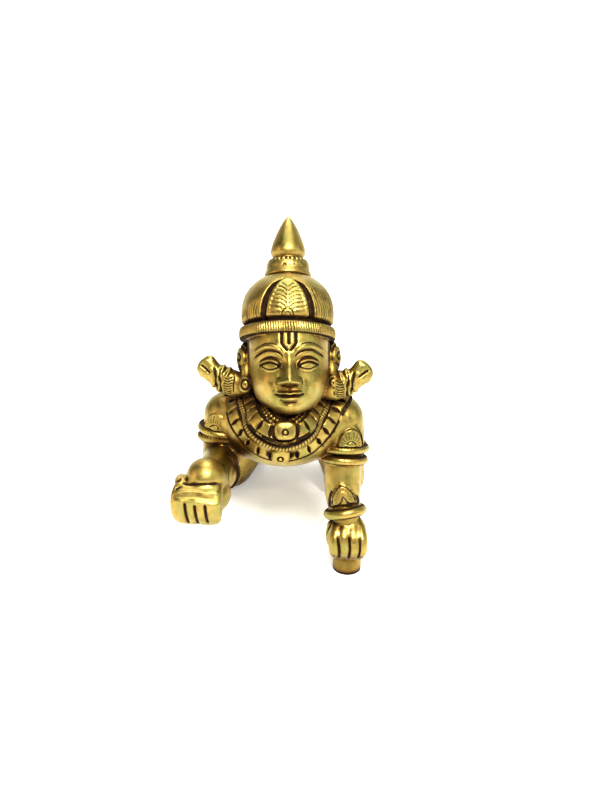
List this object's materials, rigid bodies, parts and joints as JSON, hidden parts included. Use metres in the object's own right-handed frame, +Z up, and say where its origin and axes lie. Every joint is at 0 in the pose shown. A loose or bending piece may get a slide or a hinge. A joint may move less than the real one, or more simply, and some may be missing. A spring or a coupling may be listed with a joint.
{
  "type": "figurine",
  "caption": "small solid cast brass figurine of a crowned infant deity crawling on one hand and both knees, holding a ball of butter in the raised hand",
  "frame": {"origin": "on the ground plane, under the centre of the bounding box", "axes": "+Z up, the face looks along -Y, the figure's left hand rests on the ground on the +X side"},
  "size_m": [0.0372, 0.077, 0.0684],
  "materials": {
    "brass": "polished high spots with a black-brown patina in the carving"
  },
  "bodies": {
    "root": {"krishna_idol": "brass"}
  },
  "joints": []
}
